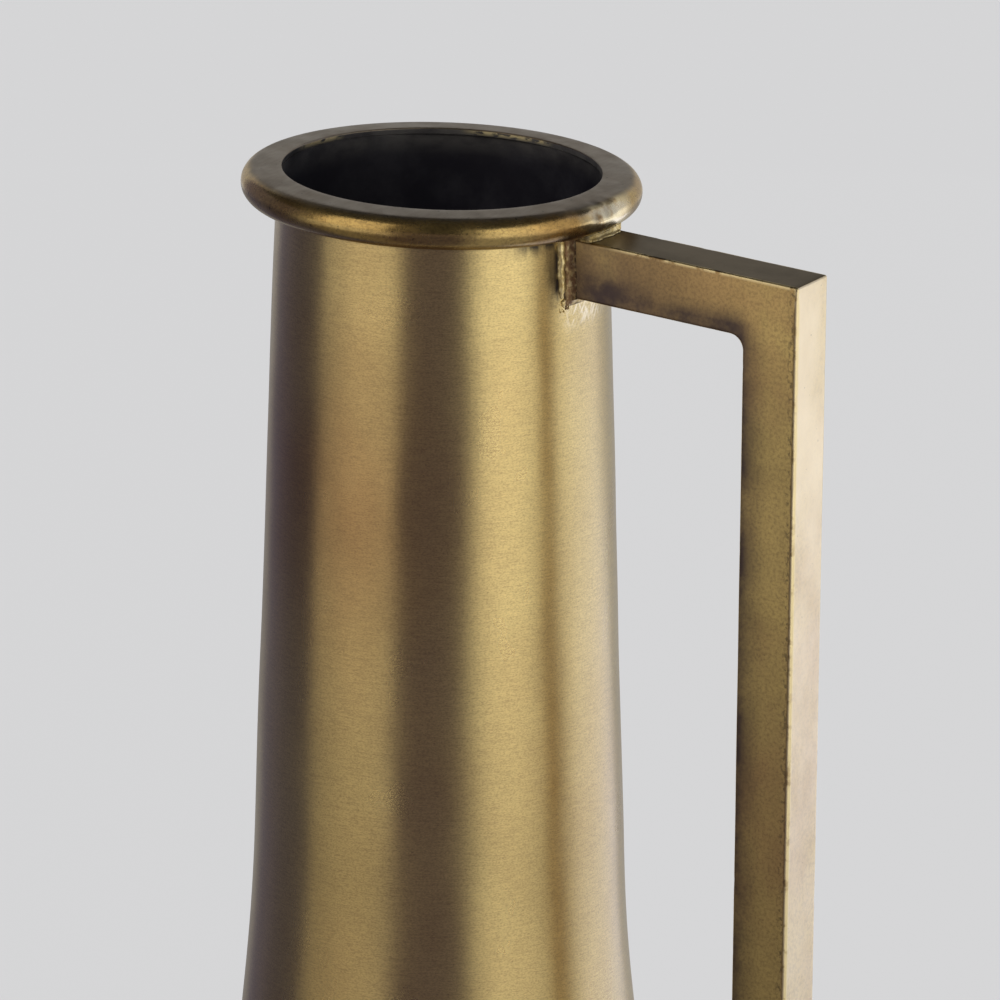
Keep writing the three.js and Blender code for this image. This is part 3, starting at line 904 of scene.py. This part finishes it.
def make_handle():
    loops = []
    marks = []
    for inner, outer in bar_stations():
        half = (outer - inner) / 2
        across = half.normalized()
        on_face = 1 if outer.x > GRIP_OUTER - EDGE_ROUND / 2 else 0
        on_grip = smooth_step(GRIP_INNER - 1 * MM, GRIP_OUTER - EDGE_ROUND, outer.x)
        on_grip *= fade(GRIP_HIGH.z - 6 * MM, GRIP_HIGH.z + 1 * MM, outer.y)
        loop = []
        for place, lean, edge in square_loop(lerp(EDGE_ROUND, GRIP_EDGE_ROUND, on_grip)):
            middle = inner + half * (1 + place.x)
            point = Vector((middle.x, place.y * HALF_BAR, middle.y))
            coped(point)
            out = Vector((across.x * lean.x, lean.y, across.y * lean.x))
            loop.append(worn(point, out, edge))
            marks.append(bar_marks(point, place, lean, edge, half.length * (1 + place.x), on_face))
        loops.append(loop)
    verts, faces = loft(loops)
    nodes = ["handle_upper_arm", "handle_grip", "handle_lower_arm", "upper_corner_weld", "lower_corner_weld"]
    piece = add_piece("handle_bar", verts, faces, [HANDLE], "handle_brass", *nodes)
    store(piece, marks)


# Welds

WELD_CELL = 0.2 * MM
SIDE_BLEND = 2.3 * MM  # leg of the fillets between the body and an arm
WELD_TOE = 0.06 * MM  # where a fillet is thinner than this it runs out
TOE_DIVE = 0.25 * MM  # and dives this far under the pieces beside it
WELD_REACH = 3.2 * MM  # a weld ends this far from the pieces that it joins
WELD_DEPTH = 0.75 * MM  # and this deep in them
WELD_LUMP = 0.09 * MM
WELD_LUMP_WIDTH = 1.5 * MM

# The bead under the ring
FOLD_FRONT = 36.7 * MM  # its distance from the vase's axis at the arm's front
FOLD_BACK = 37.5 * MM
FOLD_ENDS = (0.7 * MM - HALF_BAR, HALF_BAR - 2.2 * MM)
FOLD_RADIUS = 1.25 * MM
FOLD_SEAT = 0.8 * FOLD_RADIUS  # height of its middle over the arm
FOLD_BLEND = 0.6 * MM
FOLD_BEADS = 0.1  # how much thicker its beads are
FOLD_BEAD_PITCH = 0.7 * MM
RING_REACH = 5.2 * MM  # it ends this far from the arm

# The rope of metal along the toe of each side weld
RIDGE_REACH = 2.25 * MM  # its distance from the arm
RIDGE_RADIUS = 0.84 * MM
RIDGE_SWAY = 0.12 * MM
RIDGE_SWAY_PITCH = 0.8 * MM
RIDGE_BEADS = 0.12
RIDGE_BEAD_PITCH = 0.45 * MM
RIDGE_TAPER = 0.25  # share of its height over which it gets thick
RIDGE_LOW = 0.6 * MM  # its lower end over the arm's underside
RIDGE_HIGH = 1 * MM  # and its upper end over the arm's top
RIDGE_BLEND = 0.4 * MM

# Spatter: place beside and over the arm's lower edge, spread across and up, and drops on each side
SPATTER_LOW = (1.8 * MM, -1.2 * MM, 1.7 * MM, 1.5 * MM, 22)
SPATTER_HIGH = (2.6 * MM, 12.2 * MM, 2.8 * MM, 0.9 * MM, 12)
GOLDEN_TURN = math.pi * (3 - math.sqrt(5))

# Soot and burnt metal on a weld: a pair says where one is full and where it is gone
BURNT_OUT = (2.4 * MM, 3.4 * MM)  # out from the body
BURNT_WITHIN = (RIDGE_REACH - 0.7 * MM, RIDGE_REACH - 0.3 * MM)  # out from the arm, as far as the rope
BURNT_FRONT = (0, -0.6 * MM)  # from the arm's side towards its middle
BURNT_MIDDLE_SHARE = 0.45
# Soot along the toes, with painted shade in the creases there.
TOE_SOOT_SHADE = (0.03 * MM, 0.2 * MM)  # out from the pieces beside the weld
TOE_SOOT_SHADE_DARK = 0.8
RING_SOOT = (0.4 * MM, 1.6 * MM)  # out from the ring
RING_SOOT_FRONT = (-6.5 * MM, -5.5 * MM)  # across the arm
RING_SOOT_DARK = 0.7


def smooth_union(first, second, blend):
    """Joins two fields of signed distance with a fillet whose legs are about as long as blend."""
    near = np.maximum(blend - np.abs(first - second), 0)
    return np.minimum(first, second) - near * near / (4 * blend)


def body_gap(x, y, z):
    """Signed distance from the body's outside, negative within it."""
    return np.hypot(x, y) - body_radius(z)


def bar_gap(y, z, under, top):
    """Signed distance from a bar whose underside and top lie at the heights given."""
    across = np.abs(y) - HALF_BAR
    upright = np.abs(z - (under + top) / 2) - (top - under) / 2
    outside = np.hypot(np.maximum(across, 0), np.maximum(upright, 0))
    return outside + np.minimum(np.maximum(across, upright), 0)


def ring_gap(x, y, z):
    """Signed distance from the ring's round outside."""
    back = RIM_PLACE.inverted()
    across, along, height = [row[0] * x + row[1] * y + row[2] * z + row[3] for row in back[:3]]
    return np.hypot(np.hypot(across, along) - RIM_ROUND_CENTRE, height + RIM_ROUND_DROP) - RIM_ROUND


def ridge_gap(x, y, z, side, low, high):
    """Signed distance from the rope of metal along the toe of a side weld, between two heights."""
    middle = side * (HALF_BAR + RIDGE_REACH) + RIDGE_SWAY * np.sin(z / RIDGE_SWAY_PITCH)
    foot = np.sqrt(np.square(body_radius(z)) - np.square(middle))
    share = np.clip((z - low) / (high - low), 0, 1)
    thick = RIDGE_RADIUS * np.sqrt(np.clip(share / RIDGE_TAPER, 0, 1))
    thick *= 1 + RIDGE_BEADS * np.sin(z / RIDGE_BEAD_PITCH)
    return np.maximum(np.hypot(x - foot, y - middle) - thick, z - high)


def spatter_gap(x, y, z):
    """Signed distance from drops of weld metal scattered on the neck beside the upper arm."""
    radius = body_radius(z)
    gap = np.full_like(x, WELD_REACH)
    for aside, above, across, upright, count in (SPATTER_LOW, SPATTER_HIGH):
        for i in range(2 * count):
            side = 1 if i < count else -1
            turn = GOLDEN_TURN * i
            reach = math.sqrt((i % count + 0.5) / count)
            middle = side * (HALF_BAR + aside) + across * reach * math.cos(turn)
            level = arm_under(MOUTH_RADIUS) + above + upright * reach * math.sin(turn)
            drop = (0.14 + 0.06 * (i * 7 % 5)) * MM
            foot = np.sqrt(np.square(radius) - middle ** 2)
            away = np.sqrt(np.square(x - foot) + np.square(y - middle) + np.square(z - level))
            gap = np.minimum(gap, away - drop)
    return gap


def fold_gap(x, y, z):
    """Signed distance from the bead that fills the gap between the ring and the upper arm's top."""
    along = np.clip(y, *FOLD_ENDS)
    middle = lerp(FOLD_FRONT, FOLD_BACK, along / BAR + 0.5)
    out = np.maximum(x - middle, 0)
    away = np.sqrt(np.square(out) + np.square(y - along) + np.square(z - arm_top(x) - FOLD_SEAT))
    return away - FOLD_RADIUS * (1 + FOLD_BEADS * np.sin(y / FOLD_BEAD_PITCH))


def weld_fillet(first, second, blend):
    """Field of the fillet between two pieces, which dives under their surfaces where it runs out."""
    joined = smooth_union(first, second, blend)
    thick = np.minimum(first, second) - joined
    return joined + TOE_DIVE * (1 - np.clip(thick / WELD_TOE, 0, 1))


def upper_heights(x):
    """Heights of the upper arm's underside and top."""
    return arm_under(x), arm_top(x)


def lower_heights(x):
    """The same for the lower arm, which is level."""
    return HANDLE_BOTTOM, LOWER_ARM_TOP


def joint_field(x, y, z, under, top):
    """Fillets between the body and a bar, with ridges along their sides, and the zone that they keep to."""
    body = body_gap(x, y, z)
    arm = bar_gap(y, z, under, top)
    weld = weld_fillet(body, arm, SIDE_BLEND)
    for side in (-1, 1):
        ridge = ridge_gap(x, y, z, side, np.min(under) + RIDGE_LOW, np.max(top) + RIDGE_HIGH)
        weld = smooth_union(weld, ridge, RIDGE_BLEND)
    zone = np.maximum(np.maximum(body, arm) - WELD_REACH, -np.minimum(body, arm) - WELD_DEPTH)
    return weld, zone


def upper_field(x, y, z):
    """The upper joint's welds, with the bead under the ring and drops of spatter."""
    weld, zone = joint_field(x, y, z, *upper_heights(x))
    ring = ring_gap(x, y, z)
    arm = bar_gap(y, z, *upper_heights(x))
    fold = fold_gap(x, y, z)
    fold = np.minimum(fold, weld_fillet(fold, np.minimum(ring, arm), FOLD_BLEND))
    weld = np.minimum(weld, fold)
    joined = np.minimum(np.minimum(ring, arm), body_gap(x, y, z))
    ring_zone = np.maximum(ring - WELD_REACH, arm - RING_REACH)
    ring_zone = np.maximum(ring_zone, -joined - WELD_DEPTH)
    field = np.maximum(weld, np.minimum(zone, ring_zone))
    return np.minimum(field, spatter_gap(x, y, z))


def lower_field(x, y, z):
    """The lower joint's welds."""
    weld, zone = joint_field(x, y, z, *lower_heights(x))
    return np.maximum(weld, zone)


def surface_net(field, low):
    """Points and quads on the zero level of a sampled field: one point in each cell that it crosses."""
    inside = field < 0
    total = np.zeros((*field.shape, 3))
    count = np.zeros(field.shape)
    rings = []
    for axis in range(3):
        first = np.argwhere(np.diff(inside, axis=axis))
        second = first.copy()
        second[:, axis] += 1
        start = field[tuple(first.T)]
        place = first.astype(float)
        place[:, axis] += start / (start - field[tuple(second.T)])
        corners = []
        for steps in ((0, 0), (1, 0), (1, 1), (0, 1)):
            cells = first.copy()
            cells[:, (axis + 1) % 3] -= steps[0]
            cells[:, (axis + 2) % 3] -= steps[1]
            np.add.at(total, tuple(cells.T), place)
            np.add.at(count, tuple(cells.T), 1)
            corners.append(np.ravel_multi_index(tuple(cells.T), field.shape))
        rings.append(np.stack(corners, axis=1))
    used = np.flatnonzero(count)
    places = total.reshape(-1, 3)[used] / count.reshape(-1, 1)[used]
    points = np.array(low) + places * WELD_CELL
    quads = np.searchsorted(used, np.concatenate(rings))
    return points, quads


def weld_marks(points, heights):
    """How high the lumps are, how sooty and how burnt the weld is at each of its points, with painted shade
    in the creases at its toes.
    """
    x, y, z = points.T
    body = body_gap(x, y, z)
    arm = bar_gap(y, z, *heights(x))
    ring = ring_gap(x, y, z)
    proud = np.minimum(np.minimum(body, arm), ring)
    drops = spatter_gap(x, y, z)
    marks = []
    for i, point in enumerate(points):
        place = Vector(point) / WELD_LUMP_WIDTH
        rough = ripple(*place, 3) + 0.5 * ripple(*(2.1 * place), 5)
        side = abs(y[i]) - HALF_BAR
        beside = fade(*BURNT_OUT, body[i]) * smooth_step(-0.5 * MM, 0, arm[i])
        inward = fade(*BURNT_WITHIN, side + 0.2 * MM * rough)
        toe = fade(*TOE_SOOT_SHADE, proud[i] + 0.08 * MM * rough)
        under_ring = fade(*RING_SOOT, ring[i]) * fade(*RING_SOOT_FRONT, y[i])
        off_drops = smooth_step(0.02 * MM, 0.1 * MM, drops[i])
        marks.append({
            "lump": WELD_LUMP * rough * smooth_step(0.02 * MM, 0.25 * MM, proud[i]),
            "stain": off_drops * max(TOE_SOOT_SHADE_DARK * toe, RING_SOOT_DARK * under_ring),
            "burnt": beside * inward * lerp(BURNT_MIDDLE_SHARE, 1, fade(*BURNT_FRONT, side)),
        })
    return marks


def make_weld(name, field, heights, low, high, nodes):
    """One joint's welds between two corners of a box, as a lumpy closed mesh."""
    axes = [np.arange(a, b, WELD_CELL) for a, b in zip(low, high)]
    points, quads = surface_net(field(*np.meshgrid(*axes, indexing="ij")), low)
    piece = add_piece(name, points.tolist(), quads.tolist(), [WELD], "weld_metal", *nodes)
    normals = np.empty(points.size)
    piece.data.vertices.foreach_get("normal", normals)
    marks = weld_marks(points, heights)
    lumps = np.array([mark.pop("lump") for mark in marks])  # these move the points, the rest is stored
    moved = points + normals.reshape(-1, 3) * lumps[:, None]
    piece.data.vertices.foreach_set("co", moved.ravel())
    store(piece, marks)


def make_welds():
    upper = arm_under(MOUTH_RADIUS)
    make_weld(
        "upper_weld", upper_field, upper_heights,
        (MOUTH_RADIUS - 5 * MM, -BAR - 1 * MM, upper - 5 * MM),
        (RIM_OUTER_RADIUS + 3 * MM, BAR + 1 * MM, HEIGHT + 1 * MM),
        ["upper_weld_front", "upper_weld_back", "upper_weld_under", "rim_weld"],
    )
    make_weld(
        "lower_weld", lower_field, lower_heights,
        (LOWER_ROOT - 6 * MM, -BAR, HANDLE_BOTTOM - 5 * MM),
        (LOWER_ROOT + 6 * MM, BAR, LOWER_ARM_TOP + 5 * MM),
        ["lower_weld_front", "lower_weld_back", "lower_weld_under", "lower_weld_top"],
    )


def dress_base():
    """The base disc and its braze keep their own meshes."""
    for name in ("base_disc", "base_braze"):
        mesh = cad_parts[name].data
        mesh.materials.clear()
        mesh.materials.append(PLAIN)


make_body()
make_rim()
make_handle()
make_welds()
dress_base()


# Camera

CAMERA_RIGHT = Vector((math.cos(CAMERA_AZIMUTH), math.sin(CAMERA_AZIMUTH), 0))
CAMERA_FORWARD = Vector((
    -math.sin(CAMERA_AZIMUTH) * math.cos(CAMERA_PITCH),
    math.cos(CAMERA_AZIMUTH) * math.cos(CAMERA_PITCH),
    -math.sin(CAMERA_PITCH),
))
CAMERA_UP = CAMERA_RIGHT.cross(CAMERA_FORWARD)


def make_camera():
    data = bpy.data.cameras.new("camera")
    data.sensor_fit = "HORIZONTAL"
    data.sensor_width = SENSOR_MM
    data.lens = SENSOR_MM * FOCAL_PIXELS / FRAME_PIXELS
    camera = add_object("camera", data)
    right = CAMERA_RIGHT * math.cos(CAMERA_ROLL) + CAMERA_UP * math.sin(CAMERA_ROLL)
    up = CAMERA_UP * math.cos(CAMERA_ROLL) - CAMERA_RIGHT * math.sin(CAMERA_ROLL)
    rim_from_camera = CAMERA_RIGHT * RIM_RIGHT + CAMERA_UP * RIM_UP + CAMERA_FORWARD * RIM_FORWARD
    place = Vector((0, 0, HEIGHT)) - rim_from_camera
    axes = Matrix((right, up, -CAMERA_FORWARD)).transposed()
    camera.matrix_world = Matrix.Translation(place) @ axes.to_4x4()
    scene.camera = camera


make_camera()


# Studio

BACKGROUND = colour(213, 213, 214)
FLOOR_GLOW = 0.6  # share of the floor's look that doesn't depend on the lamps
OVERHEAD_STRENGTH = 3.3
OVERHEAD_BEARING = -40
OVERHEAD_LEAN = math.radians(20)
OVERHEAD_SPREAD = math.radians(35)
FLOOR_SIZE = 16.0
FLOOR_DROP = 0.2 * MM  # the floor lies just under the foot, so that their faces don't coincide
WORLD_TONE = (0.045, 0.045, 0.047, 1)
WARM_WHITE = (1.0, 0.93, 0.85)
WHITE = (1.0, 1.0, 1.0)
COOL_WHITE = (0.96, 1.03, 1.4)
COOL_GREY = (1.0, 1.0, 1.6)
ROSE_GREY = (1.16, 1.0, 1.45)
LAMP_DISTANCE = 0.8
CARD_HEIGHT = 2 * MM
CARD_STEPS = 16
CARD_NEAR = (0.08, CARD_HEIGHT)  # cards on the floor start this far from the vase's axis
CARD_MIDDLE = (0.48, CARD_HEIGHT)
CARD_FAR = (0.6, CARD_HEIGHT)
CARD_BACK = (1.2, CARD_HEIGHT)
LAMP_FOOT = (LAMP_DISTANCE, CARD_HEIGHT)
FRONT_CARD_TOP = (0.6, 0.34)
LEFT_CARD_TOP = (0.6, 0.6)
BACKDROP = ((1.7, 0.0), (1.7, 0.75), (1.7, 1.5))

# Name, bearings and heights from and to, radiance and tone of each soft light
SOFTBOXES = (
    ("right_foot", 24.5, 57, 0, 0.07, 1.25, WHITE),
    ("right_low", 24.5, 57, 0.07, 0.35, 0.86, WHITE),
    ("right_high", 24.5, 60, 0.35, 0.85, 1.0, WHITE),
    ("right_fill", 57, 94, 0, 1.0, 0.6, WHITE),
    ("right_panel", 94, 128, 0, 1.0, 0.55, COOL_WHITE),
    ("left_foot", -65, -28, 0, 0.07, 0.56, WARM_WHITE),
    ("left_low", -65, -28, 0.07, 0.3, 0.4, WARM_WHITE),
    ("left_high", -73, -31, 0.3, 1.3, 0.85, WARM_WHITE),
    ("left_fill", -80, -65, 0, 0.3, 0.09, WARM_WHITE),
)

# Name, bearings from and to, path of (distance, height), glow and tone of each card
CARDS = (
    ("front_floor", -37, 18, (CARD_NEAR, CARD_FAR), 0.12, ROSE_GREY),
    ("front_card", -28, 18, (CARD_FAR, FRONT_CARD_TOP), 0.12, ROSE_GREY),
    ("left_card", -118, -84, (CARD_NEAR, CARD_FAR, LEFT_CARD_TOP), 0.11, COOL_GREY),
    ("left_turn", -146, -118, (CARD_NEAR, CARD_FAR, LEFT_CARD_TOP), 0.15, COOL_GREY),
    ("left_near", -84, -37, (CARD_NEAR, CARD_FAR), 0.3, WARM_WHITE),
    ("left_floor", -84, -35, (CARD_FAR, LAMP_FOOT), 0.46, WARM_WHITE),
    ("right_near", 18, 90, (CARD_NEAR, CARD_FAR), 0.56, WHITE),
    ("right_floor", 90, 140, (CARD_NEAR, CARD_MIDDLE), 0.95, COOL_WHITE),
    ("right_end", 90, 140, (CARD_MIDDLE, LAMP_FOOT), 1.25, COOL_WHITE),
    ("back_right", 140, 180, (CARD_NEAR, CARD_BACK), 0.44, WHITE),
    ("back_left", 180, 214, (CARD_NEAR, CARD_BACK), 0.34, WHITE),
    ("low_backdrop", 128, 214, BACKDROP[:2], 0.5, WHITE),
    ("high_backdrop", 128, 214, BACKDROP[1:], 0.56, WHITE),
)


def bearing(angle, distance, height):
    """A place round the vase, at degrees to the right of the camera as the camera sees it."""
    turn = math.radians(angle)
    toward = Vector((math.sin(CAMERA_AZIMUTH), -math.cos(CAMERA_AZIMUTH), 0))
    return (toward * math.cos(turn) + CAMERA_RIGHT * math.sin(turn)) * distance + Vector((0, 0, height))


def aim(lamp, direction):
    """Turns a lamp and hides its own shape from the camera."""
    lamp.rotation_mode = "QUATERNION"
    lamp.rotation_quaternion = direction.to_track_quat("-Z", "Y")
    lamp.visible_camera = False


def softbox(name, from_angle, to_angle, low, high, radiance, tone):
    """An upright soft light over a range of bearings and heights, which the metal mirrors."""
    width = 2 * LAMP_DISTANCE * math.tan(math.radians(to_angle - from_angle) / 2)
    data = bpy.data.lights.new(name, "AREA")
    data.shape = "RECTANGLE"
    data.size = width
    data.size_y = high - low
    data.energy = radiance * math.pi * width * (high - low)
    data.color = tone
    lamp = add_object(name, data)
    lamp.location = bearing((from_angle + to_angle) / 2, LAMP_DISTANCE, (low + high) / 2)
    aim(lamp, Vector((-lamp.location.x, -lamp.location.y, 0)))
    lamp.visible_diffuse = False


def overhead_light():
    """A wide soft light from above that lays the vase's shadow on the floor. The metal doesn't mirror it."""
    data = bpy.data.lights.new("overhead", "SUN")
    data.energy = OVERHEAD_STRENGTH
    data.angle = OVERHEAD_SPREAD
    lamp = add_object("overhead", data)
    lamp.location = bearing(OVERHEAD_BEARING, math.sin(OVERHEAD_LEAN), math.cos(OVERHEAD_LEAN))
    aim(lamp, -lamp.location)
    lamp.visible_glossy = False


def card_material(name, glow, tone):
    """A card of an even tone, whatever light falls on it."""
    s = Shader(name, 0.0)
    s.set("Base Color", (0, 0, 0, 1))
    s.set("Specular IOR Level", 0.0)
    s.set("Emission Color", (*tone, 1))
    s.set("Emission Strength", glow)
    return s.material


def card(name, from_angle, to_angle, path, glow, tone):
    """A bent card that only the metal sees. path holds its (distance, height) from the vase outwards."""
    verts = []
    for i in range(CARD_STEPS + 1):
        angle = lerp(from_angle, to_angle, i / CARD_STEPS)
        verts += [bearing(angle, distance, height) for distance, height in path]
    faces = grid_faces(CARD_STEPS + 1, len(path), False, False)
    piece = add_object(name, new_mesh(name, verts, faces, [card_material(name, glow, tone)]))
    piece.visible_camera = False
    piece.visible_diffuse = False
    piece.visible_shadow = False


def floor_material():
    """Pale floor: its colour shows evenly to the camera and in the metal, and still takes a shadow."""
    s = Shader("floor", 0.0)
    s.set("Base Color", BACKGROUND)
    s.set("Roughness", 0.8)
    glow = s.add("ShaderNodeEmission", {"Color": BACKGROUND}).outputs["Emission"]
    path = s.add("ShaderNodeLightPath")
    seen = s.math("MAXIMUM", path.outputs["Is Camera Ray"], path.outputs["Is Glossy Ray"])
    seen = s.math("MAXIMUM", seen, path.outputs["Is Transmission Ray"])
    share = s.math("MULTIPLY", seen, FLOOR_GLOW)
    blend = s.add("ShaderNodeMixShader", {"Fac": share, 1: s.bsdf.outputs["BSDF"], 2: glow})
    output = s.tree.nodes["Material Output"]
    s.feed(output.inputs["Surface"], blend.outputs["Shader"])
    return s.material


def make_floor():
    half = FLOOR_SIZE / 2
    corners = [(-half, -half), (half, -half), (half, half), (-half, half)]
    verts = [(x, y, -FLOOR_DROP) for x, y in corners]
    floor = add_object("floor", new_mesh("floor", verts, [(0, 1, 2, 3)], [floor_material()]))


def make_world():
    world = bpy.data.worlds.new("studio")
    world.use_nodes = True
    world.node_tree.nodes["Background"].inputs["Color"].default_value = WORLD_TONE
    scene.world = world


def make_studio():
    make_floor()
    make_world()
    overhead_light()
    for light in SOFTBOXES:
        softbox(*light)
    for sheet in CARDS:
        card(*sheet)
    scene.view_settings.view_transform = "Standard"


make_studio()
